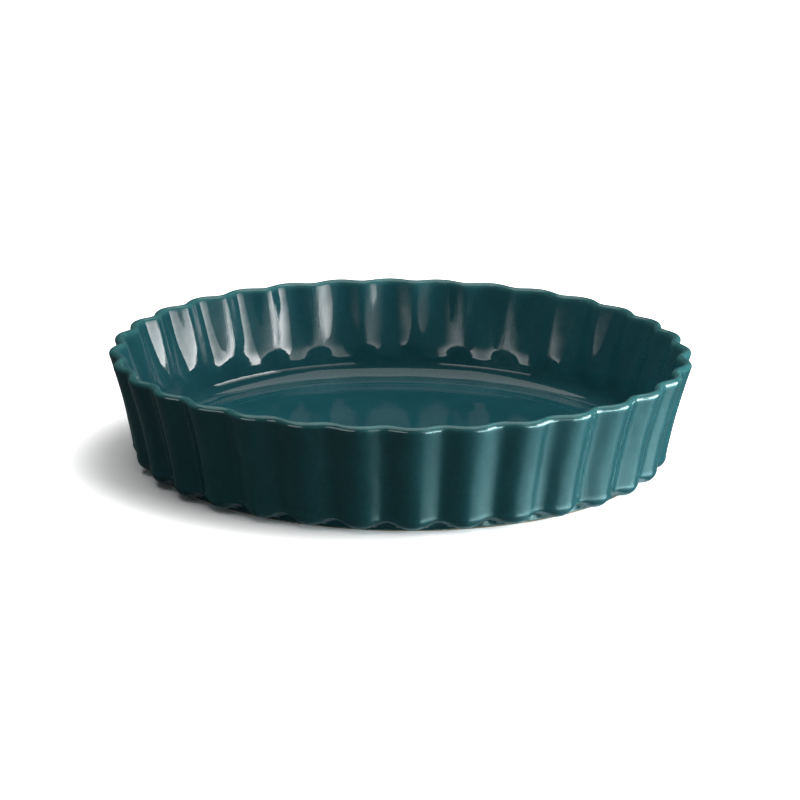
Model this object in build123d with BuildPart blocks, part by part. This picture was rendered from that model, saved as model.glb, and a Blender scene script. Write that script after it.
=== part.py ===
from build123d import *
from math import cos, radians, sin
import os

# Fluted quiche dish: a clay body under a coat of glaze, with a second patch of glaze on the underside.
# Millimetres and degrees, +Z up. The origin is the middle of the foot, on the table.

# Overall sizes, over the glaze
rim_diameter = 320.0
dish_height = 62.5

# Wall, seen in a cut through the axis: it leans out less above the base and more below the rim
rim_wall = 5.0
rim_flat = 1.0
rim_lean = 18.5
outer_base_lean = 9.5
inner_base_lean = 9.5
base_rounding = 7.0

# Inside of the dish: a flat round panel, a shallow rise round it, and a rounded corner below the wall
floor_thickness = 6.0
floor_panel_diameter = 238.0
floor_panel_drop = 0.8
corner_rounding = 10.0

# Flutes: the crest's arc takes this share of each half flute, and the valley's arc the rest
flute_count = 32
flute_depth = 4.2
outer_crest_share = 0.8
inner_crest_share = 0.7

# Foot ring, and the hollow inside it
foot_height = 2.0
foot_setback = 3.4
foot_ring_width = 5.0
foot_edge_rounding = 0.5
underside_hollow = 1.8

# Glaze: it ends a little above the table, so the foot ring stands on bare clay
glaze_thickness = 0.4
bare_foot_height = 0.8

# How many straight steps follow each bend of the fluted surfaces
base_steps = 4
wall_steps = 4
rim_steps = 3

# Levels and radii that the bends share
rim_rounding = (rim_wall - rim_flat) / 2
outer_rim_radius = rim_diameter / 2 - rim_rounding
inner_rim_radius = outer_rim_radius - rim_flat
rim_level = dish_height - rim_rounding
base_level = foot_height + base_rounding
floor_level = underside_hollow + floor_thickness
corner_level = floor_level + floor_panel_drop + corner_rounding


def sine(angle):
    return sin(radians(angle))


def cosine(angle):
    return cos(radians(angle))


# The outer wall is one hollow arc, tangent to the rounded rim above and to the rounded base below
outer_top_level = rim_level - rim_rounding * sine(rim_lean)
outer_bottom_level = base_level - base_rounding * sine(outer_base_lean)
outer_arc = (outer_top_level - outer_bottom_level) / (sine(rim_lean) - sine(outer_base_lean))
outer_arc_radius = outer_rim_radius + (rim_rounding + outer_arc) * cosine(rim_lean)
outer_arc_level = rim_level - (rim_rounding + outer_arc) * sine(rim_lean)
base_radius = outer_arc_radius - (outer_arc + base_rounding) * cosine(outer_base_lean)

# The inner wall is a second arc, tangent to the rim above and to the rounded corner below
inner_top_level = rim_level + rim_rounding * sine(rim_lean)
inner_bottom_level = corner_level - corner_rounding * sine(inner_base_lean)
inner_arc = (inner_top_level - inner_bottom_level) / (sine(rim_lean) - sine(inner_base_lean))
inner_arc_radius = inner_rim_radius + (inner_arc - rim_rounding) * cosine(rim_lean)
inner_arc_level = rim_level - (inner_arc - rim_rounding) * sine(rim_lean)
corner_radius = inner_arc_radius - (inner_arc + corner_rounding) * cosine(inner_base_lean)

# The foot stands under the rounded ends of the lobes, set back from where their rounding begins
foot_radius = base_radius - foot_setback
foot_inner_radius = foot_radius - foot_ring_width


def bend(radius, level, rounding, first, last, steps):
    """Points of an arc round a centre, from one angle above the horizontal to another."""
    angles = [first + (last - first) * step / steps for step in range(steps + 1)]
    return [(radius + rounding * cosine(angle), level + rounding * sine(angle)) for angle in angles]


def turned(spot, angle):
    """A point turned about the axis, in its plane's own coordinates."""
    point = spot.rotate(Axis.Z, angle)
    return (point.X, point.Y)


def fluted_outline(crest_radius, level, depth, crest_share):
    """Equal flutes round a closed outline: a broad arc at each crest, a tighter one in each valley."""
    half_turn = 180 / flute_count
    crest = Vector(crest_radius, 0)
    valley = Vector(crest_radius - depth, 0).rotate(Axis.Z, half_turn)
    valley_tangent = Vector(0, 1).rotate(Axis.Z, half_turn)
    reach = valley - crest
    crest_handle = reach.Y * crest_share / 2
    valley_handle = (reach.dot(reach) - 2 * crest_handle * reach.Y) / (
        2 * reach.dot(valley_tangent) + 2 * crest_handle * (1 - valley_tangent.Y)
    )
    crest_side = crest + Vector(0, crest_handle)
    valley_side = valley - valley_tangent * valley_handle
    join = crest_side + (valley_side - crest_side) * (crest_handle / (crest_handle + valley_handle))
    other_join = Vector(join.X, -join.Y)
    with BuildLine(Plane.XY.offset(level)) as flute:
        ThreePointArc(turned(other_join, 0), turned(crest, 0), turned(join, 0))
        ThreePointArc(turned(join, 0), turned(valley, 0), turned(other_join, 2 * half_turn))
    flutes = [place * edge for place in PolarLocations(0, flute_count) for edge in flute.edges()]
    return Face(Wire(flutes))


def outside(skin):
    """The dish as a full block, taken in by a skin: rounded base, wall and rim, on its foot."""
    base = bend(base_radius, base_level, base_rounding - skin, -90, -outer_base_lean, base_steps)
    wall_angles = (180 - outer_base_lean, 180 - rim_lean)
    wall = bend(outer_arc_radius, outer_arc_level, outer_arc + skin, *wall_angles, wall_steps)
    lower_rim = bend(outer_rim_radius, rim_level, rim_rounding - skin, -rim_lean, 0, 1)
    upper_rim = bend(outer_rim_radius, rim_level, rim_rounding - skin, 0, 90, rim_steps)
    outlines = [
        fluted_outline(radius, level, flute_depth, outer_crest_share)
        for radius, level in base + wall[1:-1] + lower_rim + upper_rim[1:]
    ]
    with BuildPart() as block:
        loft(outlines, ruled=True)
        with BuildSketch(Plane.XY):
            Circle(foot_radius - skin)
        extrude(amount=base_level)
    return block.part


def inside(skin):
    """The space in the dish, let out by a skin: round at the floor, fluted deeper towards the rim."""
    panel_radius = floor_panel_diameter / 2
    round_radius = corner_radius - flute_depth
    panel_level = floor_level - skin
    rise_level = corner_level - corner_rounding - skin
    corner = bend(round_radius, corner_level, corner_rounding + skin, -90, -inner_base_lean, 2)
    wall_angles = (180 - inner_base_lean, 180 - rim_lean)
    wall = bend(inner_arc_radius, inner_arc_level, inner_arc - skin, *wall_angles, wall_steps)
    rim = bend(inner_rim_radius, rim_level, rim_rounding - skin, 180 - rim_lean, 90, rim_steps)
    bottom = wall[0][1]
    top = wall[-1][1]
    outlines = []
    for radius, level in wall:
        depth = flute_depth * (1 - ((top - level) / (top - bottom)) ** 2)
        outlines.append(fluted_outline(radius - flute_depth + depth, level, depth, inner_crest_share))
    for radius, level in rim[1:]:
        outlines.append(fluted_outline(radius, level, flute_depth, inner_crest_share))
    with BuildPart() as space:
        with BuildSketch(Plane.XZ):
            with BuildLine():
                Line((0, bottom), (0, panel_level))
                Line((0, panel_level), (panel_radius, panel_level))
                Bezier(
                    (panel_radius, panel_level),
                    ((panel_radius + round_radius) / 2, rise_level),
                    (round_radius, rise_level),
                )
                ThreePointArc(*corner)
                Line(corner[-1], (0, bottom))
            make_face()
        revolve(axis=Axis.Z)
        loft(outlines, ruled=True)
    return space.part


with BuildPart() as stoneware_body:
    add(outside(glaze_thickness))
    with BuildSketch(Plane.XY):
        Circle(foot_inner_radius + glaze_thickness)
    extrude(amount=underside_hollow + glaze_thickness, mode=Mode.SUBTRACT)
    fillet(stoneware_body.faces().sort_by(Axis.Z)[0].edges(), foot_edge_rounding)
    add(inside(glaze_thickness), mode=Mode.SUBTRACT)
stoneware_body.part.label = "stoneware_body"

with BuildPart() as underside_glaze:
    with BuildSketch(Plane.XY.offset(bare_foot_height)):
        Circle(foot_inner_radius + glaze_thickness)
    extrude(amount=underside_hollow + glaze_thickness - bare_foot_height)
    with BuildSketch(Plane.XY):
        Circle(foot_inner_radius)
    extrude(amount=underside_hollow, mode=Mode.SUBTRACT)
underside_glaze.part.label = "underside_glaze"

with BuildPart() as glaze_coat:
    add(outside(0))
    add(inside(0), mode=Mode.SUBTRACT)
    with BuildSketch(Plane.XY):
        Circle(foot_radius)
    extrude(amount=bare_foot_height, mode=Mode.SUBTRACT)
    with BuildSketch(Plane.XY):
        Circle(foot_inner_radius)
    extrude(amount=underside_hollow, mode=Mode.SUBTRACT)
    add(underside_glaze.part, mode=Mode.SUBTRACT)
    add(stoneware_body.part, mode=Mode.SUBTRACT)
glaze_coat.part.label = "glaze_coat"

os.makedirs("parts", exist_ok=True)
for piece in (stoneware_body, glaze_coat, underside_glaze):
    export_step(piece.part, f"parts/{piece.part.label}.step")
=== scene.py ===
from collections import namedtuple
from math import cos, pi, radians, sin, tan

import bmesh
import bpy
import numpy as np
from mathutils import Matrix, Vector


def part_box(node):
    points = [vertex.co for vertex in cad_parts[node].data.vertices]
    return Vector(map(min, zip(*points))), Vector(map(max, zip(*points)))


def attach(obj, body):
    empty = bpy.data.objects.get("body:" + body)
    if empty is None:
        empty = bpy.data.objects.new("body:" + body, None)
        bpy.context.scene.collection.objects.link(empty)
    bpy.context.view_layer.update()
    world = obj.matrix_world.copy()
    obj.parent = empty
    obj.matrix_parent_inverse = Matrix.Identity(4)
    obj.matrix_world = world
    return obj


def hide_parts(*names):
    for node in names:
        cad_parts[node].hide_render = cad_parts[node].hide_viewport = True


# Fluted quiche dish: its finish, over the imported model.
# Metres, +Z up. The dish stands on the floor at the origin.

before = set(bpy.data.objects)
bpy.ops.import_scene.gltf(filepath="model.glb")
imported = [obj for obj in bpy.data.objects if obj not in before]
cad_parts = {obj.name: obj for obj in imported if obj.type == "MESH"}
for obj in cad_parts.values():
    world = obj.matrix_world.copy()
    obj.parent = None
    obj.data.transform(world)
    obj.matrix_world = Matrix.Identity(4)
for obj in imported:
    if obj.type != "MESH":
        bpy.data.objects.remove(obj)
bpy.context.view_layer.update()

MM = 0.001

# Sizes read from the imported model
coat_low, coat_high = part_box("glaze_coat")
body_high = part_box("stoneware_body")[1]
patch_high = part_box("underside_glaze")[1]
rim_radius = coat_high.x
dish_height = coat_high.z
glaze_line = coat_low.z
glaze_skin = coat_high.z - body_high.z
hollow_radius = patch_high.x - glaze_skin
hollow_level = patch_high.z - glaze_skin

# The wall, seen in a cut through the axis
rim_wall = 5.0 * MM
rim_lean = radians(18.5)
outer_base_lean = radians(9.5)
inner_base_lean = radians(9.5)
base_rounding = 7.0 * MM
foot_height = 2.0 * MM
foot_width = 5.0 * MM
foot_edge = 0.5 * MM
foot_side_start = 0.1 * MM
corner_rounding = 10.0 * MM
floor_thickness = 6.0 * MM
panel_radius = 119.0 * MM
panel_drop = 0.8 * MM
panel_edge_softness = 0.9 * MM
groove_height = 0.10 * MM
groove_pitch = 4.6 * MM
panel_edge_reach = 3 * panel_edge_softness

# The flutes: the skew widens their crests, and inside they fade out downwards and swell a little on the way
flute_count = 32
flute_depth = 4.2 * MM
outer_skew = 0.20
inner_skew = 0.12
inner_flute_end = 20.0 * MM
inner_swell = 0.8 * MM
inner_swell_level = 28.0 * MM
inner_fade_power = 2.0
steps_per_flute = 24

# The notch under each valley, between the rounded ends of two lobes
notch_level = 9.0 * MM
notch_rounding = 2.6 * MM
notch_slope = radians(64)

# Slight unevenness of the hand-finished clay
uneven_round = 0.20 * MM
uneven_broad = 0.10 * MM
uneven_fine = 0.035 * MM
uneven_rim = 0.15 * MM
uneven_edge = 0.12 * MM
broad_length = 60 * MM
broad_share = 0.4
fine_length = 18 * MM

# Where the glaze looks different: near the rim, in the valleys and the corner, and on the inner ridges; and
# under the lobes, where a pale reflection of the white floor is painted
thin_below_rim = 4.0 * MM
thinnest_below_rim = 0.6 * MM
wall_pool, inside_pool, corner_pool = 0.6, 0.5, 0.8
ridge_start_share, ridge_full_share, ridge_fade_share = 0.45, 0.85, 0.5
# Painted reflection of the white floor on the lobes' undersides: from these downward slopes, outside the
# foot
reflection_start_slope, reflection_full_slope = 0.62, 0.8
reflection_past_foot = 0.4 * MM
mask_names = ("thin", "pool", "painted_reflection", "ridge")

# Rings across the hollow of the underside, as shares of its radius
hollow_shares = (0.1, 0.4, 0.7, 0.9, 0.98)
patch_shares = (0.1, 0.4, 0.7, 0.9, 0.97)

# How many rings follow each stretch of the cut, and how many points its small bends
base_rings, wall_rings, rim_rings = 26, 26, 15
inner_rings, corner_rings, rise_rings, panel_rings = 30, 13, 30, 12
bend_points, edge_points, back_points = 17, 6, 5

# Colours of the glaze and of the clay, as linear red, green, blue and alpha
glaze_deep = (0.014, 0.093, 0.113, 1)
glaze_bright = (0.021, 0.124, 0.146, 1)
glaze_grain = (0.006, 0.055, 0.065, 1)
glaze_pooled = (0.006, 0.060, 0.072, 1)
glaze_thin = (0.060, 0.215, 0.215, 1)
# Pale bluish white of the floor, painted under the lobes as its reflection
floor_reflection_colour = (0.50, 0.57, 0.62, 1)
glaze_speck = (0.30, 0.46, 0.46, 1)
clay_dark = (0.46, 0.34, 0.25, 1)
clay_light = (0.60, 0.46, 0.35, 1)
clay_iron = (0.10, 0.055, 0.035, 1)
white = (1, 1, 1, 1)

# Relief of the two surfaces
glaze_relief = 0.12 * MM
clay_relief = 0.1 * MM

# The levels and radii that the stretches share
rim_rounding = rim_wall / 2
rim_centre = (rim_radius - uneven_round - rim_rounding, dish_height - uneven_rim - rim_rounding)
base_level = foot_height + base_rounding
floor_level = hollow_level + floor_thickness
corner_level = floor_level + panel_drop + corner_rounding
foot_radius = hollow_radius + foot_width

columns = flute_count * steps_per_flute
turn = np.arange(columns) * 2 * pi / columns
across = np.abs((turn * flute_count / (2 * pi) + 0.5) % 1 - 0.5) * 2


def smooth(value, low, high):
    """A soft step from 0 at low to 1 at high."""
    share = np.clip((value - low) / (high - low), 0, 1)
    return share * share * (3 - 2 * share)


def flute(skew):
    """How far each column is from its crest, 0, to its valley, 1. Skew widens the crests."""
    return np.sin(pi / 2 * (across - skew * np.sin(pi * across) / pi)) ** 2


def wall_arc(top, bottom, top_lean, bottom_lean):
    """The hollow arc with these leans from top down to bottom's level: its centre and radius."""
    radius = (top[1] - bottom) / (sin(top_lean) - sin(bottom_lean))
    return (top[0] + radius * cos(top_lean), top[1] - radius * sin(top_lean)), radius


def on_arc(arc, level):
    """A point of a wall's arc at a level."""
    centre, radius = arc
    return centre[0] - (radius**2 - (level - centre[1]) ** 2) ** 0.5, level


def bend(centre, rounding, first, last, count=bend_points):
    """Points of an arc in the cut through the axis, as rows of radius and level."""
    angles = np.linspace(first, last, count)
    return [(centre[0] + rounding * cos(angle), centre[1] + rounding * sin(angle)) for angle in angles]


def spread(path, count):
    """The same path with its points spread evenly along it, as rows of radius and level."""
    path = np.array(path)
    travel = np.concatenate([[0], np.cumsum(np.linalg.norm(np.diff(path, axis=0), axis=1))])
    places = np.linspace(0, travel[-1], count)
    return np.stack([np.interp(places, travel, path[:, 0]), np.interp(places, travel, path[:, 1])], axis=1)


def wobble(orders, seed):
    """A smooth random wave round the dish, between -1 and 1, from a range of orders."""
    rng = np.random.default_rng(seed)
    wave = sum(rng.normal() * np.sin(order * turn + rng.uniform(0, 2 * pi)) for order in orders)
    return wave / np.abs(wave).max()


def ripple(level, orders, length, seed):
    """A smooth random pattern round and up the wall, about 1 high, with waves down to a length."""
    rng = np.random.default_rng(seed)
    total = np.zeros(columns)
    for order in orders:
        climb = rng.uniform(-2 * pi, 2 * pi) / length
        total += rng.normal() * np.sin(order * turn + climb * level + rng.uniform(0, 2 * pi))
    return total / len(orders) ** 0.5


# The outline of the cut: outer wall, rim and inner wall
outer_top = (rim_centre[0] + rim_rounding * cos(rim_lean), rim_centre[1] - rim_rounding * sin(rim_lean))
inner_top = (rim_centre[0] - rim_rounding * cos(rim_lean), rim_centre[1] + rim_rounding * sin(rim_lean))
outer_bottom = base_level - base_rounding * sin(outer_base_lean)
outer_arc = wall_arc(outer_top, outer_bottom, rim_lean, outer_base_lean)
inner_bottom = corner_level - corner_rounding * sin(inner_base_lean)
inner_arc = wall_arc(inner_top, inner_bottom, rim_lean, inner_base_lean)
base_radius = on_arc(outer_arc, base_level)[0] - base_rounding * cos(outer_base_lean)
round_radius = on_arc(inner_arc, inner_bottom)[0] - flute_depth - corner_rounding * cos(inner_base_lean)

# The rings, from the foot out and over the rim to the middle of the floor
Ring = namedtuple("Ring", "crest valley skew uneven part")
rings = []


def add_ring(crest, valley, skew, uneven, part):
    """Add a ring: crest and valley as radius and level, skew, how uneven it is, and its part of the dish."""
    rings.append(Ring(crest, valley, skew, uneven, part))


def add_foot_and_base():
    """From the glaze's lower edge up the foot, out under the lobes and round their ends to the wall."""
    edge = (foot_radius - glaze_skin, glaze_line + glaze_skin)
    for point in bend(edge, glaze_skin, -pi / 2, 0, edge_points):
        add_ring(point, point, outer_skew, 0, "edge")
    under = (foot_radius + foot_edge, foot_height - foot_edge)
    wall = on_arc(outer_arc, notch_level)
    crest = [(foot_radius, edge[1] + foot_side_start)]
    crest += bend(under, foot_edge, pi, pi / 2)
    crest += bend((base_radius, base_level), base_rounding, -pi / 2, -outer_base_lean)
    crest += [wall]
    notch = (wall[0] - flute_depth - notch_rounding * cos(outer_base_lean), notch_level)
    lip = bend(notch, notch_rounding, -notch_slope, 0)
    fall = (lip[0][0] - under[0]) / tan(notch_slope)
    valley = [(foot_radius, edge[1] + foot_side_start)]
    valley += bend((under[0], lip[0][1] - fall - foot_edge), foot_edge, pi, pi - notch_slope)
    valley += lip
    valley[-1] = (wall[0] - flute_depth, notch_level)
    for outer, inner in zip(spread(crest, base_rings), spread(valley, base_rings)):
        add_ring(outer, inner, outer_skew, smooth(outer[1], foot_height, base_level), "base")


def add_wall_and_rim():
    """Up the outer wall, over the rim, and down to where the inner wall starts."""
    for level in np.linspace(notch_level, outer_top[1], wall_rings + 1)[1:]:
        radius = on_arc(outer_arc, level)[0]
        add_ring((radius, level), (radius - flute_depth, level), outer_skew, 1, "wall")
    for share in np.linspace(0, 1, rim_rings + 1)[1:]:
        angle = -rim_lean + share * pi
        radius = rim_centre[0] + rim_rounding * cos(angle)
        level = rim_centre[1] + rim_rounding * sin(angle)
        skew = outer_skew + (inner_skew - outer_skew) * share
        add_ring((radius, level), (radius - flute_depth, level), skew, 1, "rim")


def add_inside():
    """Down the inner wall, where the flutes fade out, round the corner and across the floor."""
    height = inner_top[1] - inner_flute_end
    for level in np.linspace(inner_top[1], inner_bottom, inner_rings + 1)[1:]:
        fade = 1 - min((inner_top[1] - level) / height, 1) ** inner_fade_power
        rise = smooth(level, inner_bottom, inner_swell_level)
        ebb = np.clip((inner_top[1] - level) / (inner_top[1] - inner_swell_level), 0, 1)
        valley = on_arc(inner_arc, level)[0] - flute_depth - inner_swell * rise * ebb
        add_ring((valley + flute_depth * fade, level), (valley, level), inner_skew, fade, "inside")
    centre = (round_radius, corner_level)
    for point in bend(centre, corner_rounding, -inner_base_lean, -pi / 2, corner_rings + 1)[1:]:
        add_ring(point, point, inner_skew, 0, "corner")
    rise_width = round_radius - panel_radius
    for radius in np.linspace(round_radius, panel_radius - panel_edge_reach, rise_rings + 1)[1:]:
        past = radius - panel_radius
        ramp = (past + (past**2 + panel_edge_softness**2) ** 0.5) / 2 / rise_width
        level = floor_level + panel_drop * (1 - (1 - min(ramp, 1)) ** 2)
        if past > 0:
            level += groove_height * sin(2 * pi * past / groove_pitch) * (1 - past / rise_width)
        add_ring((radius, level), (radius, level), inner_skew, 0, "floor")
    for radius in np.linspace(panel_radius - panel_edge_reach, 0, panel_rings + 1)[1:-1]:
        add_ring((radius, floor_level), (radius, floor_level), inner_skew, 0, "floor")


add_foot_and_base()
add_wall_and_rim()
add_inside()

# The same unevenness runs down the whole wall, inside and out
roundness = wobble(range(2, 6), 3) * uneven_round
lobe_sizes = wobble(range(7, 30), 11)
rim_wave = wobble(range(2, 40), 5) * uneven_rim
edge_wave = wobble(range(5, 90), 8) * uneven_edge


def surface():
    """The glazed surface as a grid of points, ring by ring and column by column."""
    grid = np.zeros((len(rings), columns, 3))
    for number, ring in enumerate(rings):
        (crest_radius, crest_level), (valley_radius, valley_level) = ring.crest, ring.valley
        share = flute(ring.skew)
        radius = crest_radius + (valley_radius - crest_radius) * share
        level = crest_level + (valley_level - crest_level) * share
        if ring.part == "edge":
            level = level + edge_wave
        broad = ripple(crest_level, range(8, 40), broad_length, 21) * uneven_broad
        fine = ripple(crest_level, range(40, 120), fine_length, 34) * uneven_fine
        wave = roundness * (level / dish_height) + broad * broad_share * lobe_sizes + fine
        radius = radius + ring.uneven * wave
        level = level + ring.uneven * rim_wave * smooth(level, dish_height / 2, dish_height)
        grid[number] = np.stack([radius * np.cos(turn), radius * np.sin(turn), level], axis=1)
    return grid


def normals(grid):
    """The outward normal at each point of the grid."""
    along = np.gradient(grid, axis=0)
    around = np.roll(grid, -1, axis=1) - np.roll(grid, 1, axis=1)
    facing = np.cross(around, along)
    return facing / np.linalg.norm(facing, axis=2, keepdims=True)


def turned_piece(name, parts, poles, masks=None):
    """A closed mesh through rings of points, from one pole on the axis to the other."""
    points = np.concatenate([np.asarray(parts).reshape(-1, 3), np.array(poles)])
    count = len(parts)
    column = np.arange(columns)
    beside = np.roll(column, -1)
    faces = []
    for ring in range(count - 1):
        here, there = ring * columns, (ring + 1) * columns
        faces += np.stack([here + column, here + beside, there + beside, there + column], axis=1).tolist()
    first, last = count * columns, count * columns + 1
    end = (count - 1) * columns
    faces += np.stack([np.full(columns, first), beside, column], axis=1).tolist()
    faces += np.stack([np.full(columns, last), end + column, end + beside], axis=1).tolist()
    mesh = bpy.data.meshes.new(name)
    mesh.from_pydata(points.tolist(), [], faces)
    work = bmesh.new()
    work.from_mesh(mesh)
    bmesh.ops.recalc_face_normals(work, faces=work.faces)
    work.to_mesh(mesh)
    work.free()
    for mask, values in (masks or {}).items():
        layer = mesh.attributes.new(mask, "FLOAT", "POINT")
        layer.data.foreach_set("value", np.concatenate([values, [0, 0]]).astype(np.float32))
    mesh.shade_smooth()
    piece = bpy.data.objects.new(name, mesh)
    bpy.context.scene.collection.objects.link(piece)
    return piece


def circle_ring(radius, level, wave=0):
    """A plain round ring of points, with a wave in its level if one is given."""
    levels = np.zeros(columns) + level + wave
    return np.stack([radius * np.cos(turn), radius * np.sin(turn), levels], axis=1)


grid = surface()
outward = normals(grid)
edge_count = sum(ring.part == "edge" for ring in rings)

# Below its skin of glaze the clay follows the same surface
clay_side = [circle_ring(foot_radius - glaze_skin, glaze_line, edge_wave)]
hidden = grid - outward * glaze_skin
clay_skin = clay_side + list(hidden[edge_count:-1:2]) + [hidden[-1]]
floor_pole = (0, 0, floor_level)
clay_pole = (0, 0, floor_level - glaze_skin)


def coat_masks():
    """Where the glaze runs thin, pools, or is rubbed on the inner ridges, and where a reflection of the
    white floor is painted under the lobes.
    """
    share = flute(outer_skew)
    masks = {mask: np.zeros((len(rings), columns)) for mask in mask_names}
    for number, ring in enumerate(rings):
        x, y, level = grid[number].T
        if ring.part in ("rim", "wall", "inside"):
            thin = smooth(level, dish_height - thin_below_rim, dish_height - thinnest_below_rim)
            masks["thin"][number] = thin
        if ring.part == "wall":
            masks["pool"][number] = share * wall_pool
        if ring.part == "inside":
            upper = smooth(ring.uneven, 0, ridge_fade_share)
            masks["pool"][number] = inside_pool * (1 - share) * ring.uneven
            masks["ridge"][number] = smooth(share, ridge_start_share, ridge_full_share) * upper
        if ring.part == "corner":
            masks["pool"][number] = corner_pool
        # Painted reflection of the white floor, where the lobes' undersides face down outside the foot
        if ring.part == "base":
            downward = -outward[number, :, 2]
            outside = np.hypot(x, y) > foot_radius + reflection_past_foot
            masks["painted_reflection"][number] = smooth(downward, reflection_start_slope, reflection_full_slope) * outside
    return masks


def build_coat():
    """The glaze over all but the foot's lower edge: its surface, and its back against the clay."""
    shown = list(grid[::-1])
    back = clay_skin[1:]
    parts = shown + back
    masks = {}
    for mask, values in coat_masks().items():
        masks[mask] = np.concatenate([values[::-1].ravel(), np.zeros(len(back) * columns)])
    piece = turned_piece("glaze_surface", parts, (floor_pole, clay_pole), masks)
    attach(piece, "root")
    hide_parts("glaze_coat")
    return piece


def build_body():
    """The fired clay under the glaze, with its bare foot ring and the hollow inside that."""
    inner_edge = hollow_radius + glaze_skin + foot_edge
    outer_edge = foot_radius - glaze_skin - foot_edge
    ceiling = hollow_level + glaze_skin
    top_edge = (hollow_radius + glaze_skin - foot_edge, ceiling - foot_edge)
    path = [(hollow_radius * share, ceiling) for share in hollow_shares]
    path += bend(top_edge, foot_edge, pi / 2, 0, back_points)
    path += bend((inner_edge, foot_edge), foot_edge, pi, 3 * pi / 2, edge_points)
    path += bend((outer_edge, foot_edge), foot_edge, -pi / 2, 0, edge_points)
    parts = [circle_ring(radius, level) for radius, level in path] + clay_skin
    piece = turned_piece("fired_clay_body", parts, ((0, 0, ceiling), clay_pole))
    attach(piece, "root")
    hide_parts("stoneware_body")
    return piece


def build_patch():
    """The glaze in the hollow of the underside, with a soft wandering edge on the foot's inner side."""
    ceiling = hollow_level + glaze_skin
    shown_edge = (hollow_radius - foot_edge, hollow_level - foot_edge / 2)
    lower_edge = (hollow_radius + glaze_skin, glaze_line + glaze_skin)
    top_edge = (hollow_radius + glaze_skin - foot_edge, ceiling - foot_edge)
    shown = [(hollow_radius * share, hollow_level) for share in patch_shares]
    shown += bend(shown_edge, foot_edge / 2, pi / 2, 0, edge_points)
    edge = bend(lower_edge, glaze_skin, pi, 3 * pi / 2, back_points)
    back = bend(top_edge, foot_edge, 0, pi / 2, back_points)
    back += [(hollow_radius * share, ceiling) for share in reversed(hollow_shares)]
    parts = [circle_ring(radius, level) for radius, level in shown]
    parts += [circle_ring(radius, level, edge_wave) for radius, level in edge]
    parts += [circle_ring(radius, level) for radius, level in back]
    masks = {mask: np.zeros(len(parts) * columns) for mask in mask_names}
    poles = ((0, 0, hollow_level), (0, 0, ceiling))
    piece = turned_piece("underside_glaze_surface", parts, poles, masks)
    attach(piece, "root")
    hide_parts("underside_glaze")
    return piece


class Nodes:
    """Short calls for a material's nodes."""

    def __init__(self, tree):
        self.tree = tree
        self.tree.nodes.clear()

    def add(self, kind, inputs=None, **settings):
        node = self.tree.nodes.new(kind)
        for key, value in settings.items():
            setattr(node, key, value)
        for key, value in (inputs or {}).items():
            if isinstance(value, bpy.types.NodeSocket):
                self.tree.links.new(value, node.inputs[key])
            else:
                node.inputs[key].default_value = value
        return node

    def noise(self, place, scale, detail=3, roughness=0.5, distortion=0):
        inputs = {"Vector": place, "Scale": scale, "Detail": detail, "Roughness": roughness}
        return self.add("ShaderNodeTexNoise", inputs | {"Distortion": distortion}).outputs["Fac"]

    def range(self, value, low, high, first=0.0, last=1.0):
        inputs = {"Value": value, "From Min": low, "From Max": high, "To Min": first, "To Max": last}
        return self.add("ShaderNodeMapRange", inputs).outputs["Result"]

    def maths(self, operation, first, second=0.0):
        return self.add("ShaderNodeMath", {0: first, 1: second}, operation=operation).outputs[0]

    def mask(self, name):
        return self.add("ShaderNodeAttribute", attribute_name=name).outputs["Fac"]

    def mix(self, factor, first, second):
        node = self.add("ShaderNodeMix", data_type="RGBA")
        for key, value in {"Factor": factor, "A": first, "B": second}.items():
            socket = next(s for s in node.inputs if s.name == key and s.enabled)
            if isinstance(value, bpy.types.NodeSocket):
                self.tree.links.new(value, socket)
            else:
                socket.default_value = value
        return next(s for s in node.outputs if s.enabled)


def new_material(name):
    material = bpy.data.materials.new(name)
    material.use_nodes = True
    return material, Nodes(material.node_tree)


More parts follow.
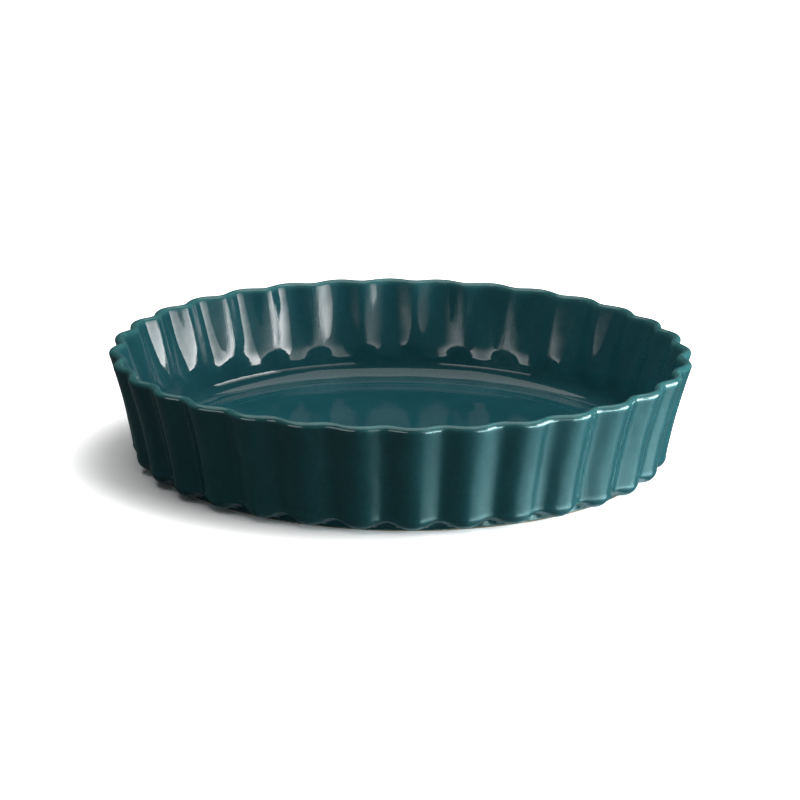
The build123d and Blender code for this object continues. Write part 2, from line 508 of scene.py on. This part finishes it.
def teal_glaze():
    """Glossy petrol glaze: cloudy, paler where it runs thin, darker where it pools, with tiny pinholes, and
    a painted reflection of the white floor under the lobes.
    """
    material, nodes = new_material("teal_glaze")
    place = nodes.add("ShaderNodeTexCoord").outputs["Object"]
    thin, pool, painted_reflection, ridge = [nodes.mask(name) for name in mask_names]

    cloud = nodes.range(nodes.noise(place, 22, 4, 0.6, 0.4), 0.32, 0.68)
    colour = nodes.mix(cloud, glaze_deep, glaze_bright)
    grain = nodes.range(nodes.noise(place, 420, 2, 0.6), 0.3, 0.7, 0.0, 0.25)
    colour = nodes.mix(grain, colour, glaze_grain)
    colour = nodes.mix(nodes.maths("MULTIPLY", pool, 0.35), colour, glaze_pooled)
    patchy = nodes.range(nodes.noise(place, 130, 3, 0.6), 0.25, 0.65, 0.35, 0.9)
    colour = nodes.mix(nodes.maths("MULTIPLY", thin, patchy), colour, glaze_thin)
    # A painted reflection of the white floor, pale and streaked, under the lobes
    streaks = nodes.range(nodes.noise(place, 300, 3, 0.7, 1.0), 0.3, 0.6, 0.55, 1.0)
    colour = nodes.mix(nodes.maths("MULTIPLY", painted_reflection, streaks), colour, floor_reflection_colour)

    # Pinholes sit in the middle of one cell in ten
    cells = nodes.add("ShaderNodeTexVoronoi", {"Vector": place, "Scale": 120.0})
    lot = nodes.add("ShaderNodeSeparateColor", {"Color": cells.outputs["Color"]}).outputs[0]
    middle = nodes.range(cells.outputs["Distance"], 0.02, 0.045, 1, 0)
    speck = nodes.maths("MULTIPLY", nodes.maths("GREATER_THAN", lot, 0.90), middle)
    colour = nodes.mix(nodes.maths("MULTIPLY", speck, 0.7), colour, glaze_speck)

    # Brushed streaks run down the inner ridges, in worn patches
    parts = nodes.add("ShaderNodeSeparateXYZ", {"Vector": place})
    around = nodes.maths("ARCTAN2", parts.outputs["Y"], parts.outputs["X"])
    upward = nodes.maths("MULTIPLY", parts.outputs["Z"], 0.5)
    along = nodes.add("ShaderNodeCombineXYZ", {"X": around, "Y": upward}).outputs[0]
    brushed = nodes.range(nodes.noise(along, 140, 4, 0.6), 0.35, 0.6)
    worn = nodes.range(nodes.noise(place, 14, 2, 0.5), 0.42, 0.58)
    brush = nodes.maths("MULTIPLY", nodes.maths("MULTIPLY", ridge, worn), brushed)

    smear = nodes.range(nodes.noise(place, 60, 3, 0.55), 0.35, 0.7, 0.045, 0.11)
    smear = nodes.maths("ADD", smear, nodes.maths("MULTIPLY", brush, 0.22))
    peel = nodes.noise(place, 240, 2, 0.5)
    swell = nodes.noise(place, 70, 2, 0.5)
    height = nodes.maths("ADD", nodes.maths("MULTIPLY", peel, 0.25), swell)
    height = nodes.maths("SUBTRACT", height, nodes.maths("MULTIPLY", speck, 0.5))
    height = nodes.maths("SUBTRACT", height, nodes.maths("MULTIPLY", brush, 0.35))
    bump = nodes.add("ShaderNodeBump", {"Strength": 1.0, "Distance": glaze_relief, "Height": height})
    shader = nodes.add("ShaderNodeBsdfPrincipled", {
        "Base Color": colour, "Roughness": smear, "IOR": 1.52, "Normal": bump.outputs["Normal"]})
    nodes.add("ShaderNodeOutputMaterial", {"Surface": shader.outputs[0]})
    return material


def fired_clay():
    """Bare stoneware on the foot ring: warm buff with iron specks and a dry, open surface."""
    material, nodes = new_material("fired_clay")
    place = nodes.add("ShaderNodeTexCoord").outputs["Object"]
    cloud = nodes.range(nodes.noise(place, 60, 5, 0.6), 0.3, 0.7)
    colour = nodes.mix(cloud, clay_dark, clay_light)
    specks = nodes.range(nodes.noise(place, 900, 2, 0.6), 0.66, 0.72)
    colour = nodes.mix(specks, colour, clay_iron)
    rough = nodes.range(nodes.noise(place, 300, 3, 0.5), 0.3, 0.7, 0.72, 0.92)
    open_grain = nodes.noise(place, 1100, 4, 0.7)
    bump = nodes.add("ShaderNodeBump", {"Strength": 0.6, "Distance": clay_relief, "Height": open_grain})
    shader = nodes.add("ShaderNodeBsdfPrincipled", {
        "Base Color": colour, "Roughness": rough, "Normal": bump.outputs["Normal"]})
    nodes.add("ShaderNodeOutputMaterial", {"Surface": shader.outputs[0]})
    return material


def floor_paint():
    """A white floor that keeps the dish's shadow, and a satin one where the dish reflects it.

    The camera sees white where nothing shades the floor: past the shadow's end it glows by itself.
    """
    material, nodes = new_material("studio_floor")
    rays = nodes.add("ShaderNodeLightPath")
    place = nodes.add("ShaderNodeTexCoord").outputs["Object"]
    middle = -camera_side * shadow_aside - camera_forward * shadow_ahead
    away = nodes.add("ShaderNodeVectorMath", {0: place, 1: middle}, operation="DISTANCE").outputs["Value"]
    reach = {"Value": away, "From Min": shadow_start, "From Max": shadow_end, "To Min": 0.0, "To Max": 1.0}
    lift = nodes.add("ShaderNodeMapRange", reach, interpolation_type="SMOOTHSTEP").outputs["Result"]
    shaded = nodes.add("ShaderNodeBsdfDiffuse", {"Color": (floor_gain, floor_gain, floor_gain, 1)})
    glow = nodes.add("ShaderNodeEmission", {"Color": white, "Strength": lift})
    seen = nodes.add("ShaderNodeAddShader", {0: shaded.outputs[0], 1: glow.outputs[0]})

    matt = nodes.add("ShaderNodeBsdfDiffuse", {"Color": (floor_matt, floor_matt, floor_matt, 1)})
    sheen = nodes.range(rays.outputs["Is Diffuse Ray"], 0, 1, floor_satin, floor_sheen_on_matt)
    # Less red in the sheen paints teal bounce light from the glaze into the floor as the dish reflects it
    red = nodes.maths("MULTIPLY", sheen, floor_sheen_red)
    tint = nodes.add("ShaderNodeCombineColor", {0: red, 1: sheen, 2: sheen}).outputs[0]
    satin = nodes.add("ShaderNodeBsdfGlossy", {"Color": tint, "Roughness": floor_roughness})
    plain = nodes.add("ShaderNodeAddShader", {0: matt.outputs[0], 1: satin.outputs[0]})

    both = {0: rays.outputs["Is Camera Ray"], 1: plain.outputs[0], 2: seen.outputs[0]}
    mixed = nodes.add("ShaderNodeMixShader", both)
    nodes.add("ShaderNodeOutputMaterial", {"Surface": mixed.outputs[0]})
    return material


# The camera: where it stands round the dish, how high, how far, and how it is turned and framed
view_turn = radians(-92.9)
view_height = radians(15.7)
view_distance = 2.495
view_target_side = -0.3 * MM
view_target_level = 33.0 * MM
view_roll = radians(0.67)
view_focal_pixels = 4538
picture_pixels = 800
sensor_width = 36
view_clip = 20

# The floor: how white it is to the camera, how it reflects in the dish, and how far the shadow is kept
floor_half = 6.0
floor_gain = 1.5
floor_matt = 0.05
floor_satin = 1.0
floor_sheen_on_matt = 0.45
# The sheen's red share: less red paints teal bounce light from the glaze into the floor's reflection
floor_sheen_red = 0.62
floor_roughness = 0.36
shadow_aside = 0.027
shadow_ahead = 0.010
shadow_start = 0.130
shadow_end = 0.190

# Upright softboxes: placed by their angle from the camera's right, with their upper edge and width in
# metres, their brightness as seen in a mirror, and the share of their height from where they fade
Softbox = namedtuple("Softbox", "around top width level soft_from lights_matt")
key_softbox = Softbox(around=-6, top=0.56, width=0.60, level=17, soft_from=0.2, lights_matt=True)
side_softbox = Softbox(around=-40, top=0.56, width=0.85, level=4, soft_from=0.15, lights_matt=False)
left_softbox = Softbox(around=227, top=0.46, width=0.75, level=3.2, soft_from=0.4, lights_matt=False)
table_softbox = Softbox(around=-21, top=0.42, width=1.15, level=31, soft_from=0.25, lights_matt=True)
softbox_distance = 0.85
softbox_foot = 0.02

# Square lamps above the dish, one for the dish and one for the table, and the dim light of the room
overhead_height = 1.3
overhead_width = 2.0
overhead_level = 1.5
table_overhead_width = 1.6
table_overhead_level = 1.6
world_level = 0.05

camera_side = Vector((-sin(view_turn), cos(view_turn), 0))
camera_forward = Vector((-cos(view_turn), -sin(view_turn), 0))


def add_camera():
    """The photograph's view of the dish."""
    target = camera_side * view_target_side + Vector((0, 0, view_target_level))
    towards = camera_forward * cos(view_height) - Vector((0, 0, sin(view_height)))
    lens = bpy.data.cameras.new("photo_camera")
    lens.sensor_width = sensor_width
    lens.lens = view_focal_pixels / picture_pixels * sensor_width
    lens.clip_end = view_clip
    camera = bpy.data.objects.new("photo_camera", lens)
    bpy.context.scene.collection.objects.link(camera)
    aim = towards.to_track_quat("-Z", "Y").to_matrix().to_4x4()
    camera.matrix_world = (
        Matrix.Translation(target - towards * view_distance) @ aim @ Matrix.Rotation(view_roll, 4, "Z")
    )
    bpy.context.scene.camera = camera


def add_softbox(name, box, lit):
    """An upright lamp that faces the dish and lights one collection.

    It is even up to a share of its height, and fades to nothing at its upper edge. A lamp that
    doesn't light matt surfaces only shows as a reflection.
    """
    height = box.top - softbox_foot
    side = camera_side * cos(radians(box.around)) + camera_forward * sin(radians(box.around))
    place = side * softbox_distance + Vector((0, 0, (softbox_foot + box.top) / 2))
    lamp = bpy.data.lights.new(name, "AREA")
    lamp.shape = "RECTANGLE"
    lamp.size = box.width
    lamp.size_y = height
    lamp.energy = box.level * pi * box.width * height
    lamp.use_nodes = True
    nodes = Nodes(lamp.node_tree)
    spot = nodes.add("ShaderNodeNewGeometry").outputs["Parametric"]
    upward = nodes.add("ShaderNodeSeparateXYZ", {"Vector": spot}).outputs["Y"]
    fade = nodes.maths("POWER", nodes.range(upward, box.soft_from, 1, 1, 0), 2)
    glow = nodes.add("ShaderNodeEmission", {"Color": white, "Strength": fade})
    nodes.add("ShaderNodeOutputLight", {"Surface": glow.outputs[0]})
    holder = bpy.data.objects.new(name, lamp)
    bpy.context.scene.collection.objects.link(holder)
    facing = (-side).to_track_quat("-Z", "Y").to_matrix().to_4x4()
    holder.matrix_world = Matrix.Translation(place) @ facing
    holder.visible_diffuse = box.lights_matt
    holder.light_linking.receiver_collection = lit


def add_overhead(name, width, level, lit):
    """A square lamp straight above the dish."""
    lamp = bpy.data.lights.new(name, "AREA")
    lamp.size = width
    lamp.energy = level * pi * width**2
    holder = bpy.data.objects.new(name, lamp)
    bpy.context.scene.collection.objects.link(holder)
    holder.location = (0, 0, overhead_height)
    holder.light_linking.receiver_collection = lit
    return holder


def add_floor():
    """The white floor that the dish stands on."""
    mesh = bpy.data.meshes.new("studio_floor")
    corners = [(-1, -1), (1, -1), (1, 1), (-1, 1)]
    mesh.from_pydata([(x * floor_half, y * floor_half, 0) for x, y in corners], [], [(0, 1, 2, 3)])
    floor = bpy.data.objects.new("studio_floor", mesh)
    floor.data.materials.append(floor_paint())
    bpy.context.scene.collection.objects.link(floor)
    return floor


def add_room():
    """White to the camera, and dim to everything else."""
    world = bpy.data.worlds.new("studio")
    world.use_nodes = True
    bpy.context.scene.world = world
    nodes = Nodes(world.node_tree)
    rays = nodes.add("ShaderNodeLightPath")
    level = nodes.range(rays.outputs["Is Camera Ray"], 0, 1, world_level, 1)
    sky = nodes.add("ShaderNodeBackground", {"Color": white, "Strength": level})
    nodes.add("ShaderNodeOutputWorld", {"Surface": sky.outputs[0]})


def add_studio(pieces):
    """Floor, room and lamps: softboxes on the right and left and one above, and two for the floor alone."""
    floor = add_floor()
    table_only = bpy.data.collections.new("table_only")
    table_only.objects.link(floor)
    dish_only = bpy.data.collections.new("dish_only")
    for piece in pieces:
        dish_only.objects.link(piece)
    add_room()
    add_softbox("key_softbox", key_softbox, dish_only)
    add_softbox("side_softbox", side_softbox, dish_only)
    add_softbox("left_softbox", left_softbox, dish_only)
    add_softbox("table_softbox", table_softbox, table_only)
    add_overhead("top_softbox", overhead_width, overhead_level, dish_only)
    table_top = add_overhead("table_top_softbox", table_overhead_width, table_overhead_level, table_only)
    table_top.visible_glossy = False


glaze = teal_glaze()
clay = fired_clay()
made = {build_coat(): glaze, build_body(): clay, build_patch(): glaze}
for piece, material in made.items():
    piece.data.materials.append(material)
add_camera()
add_studio(made)
bpy.context.scene.view_settings.view_transform = "Standard"
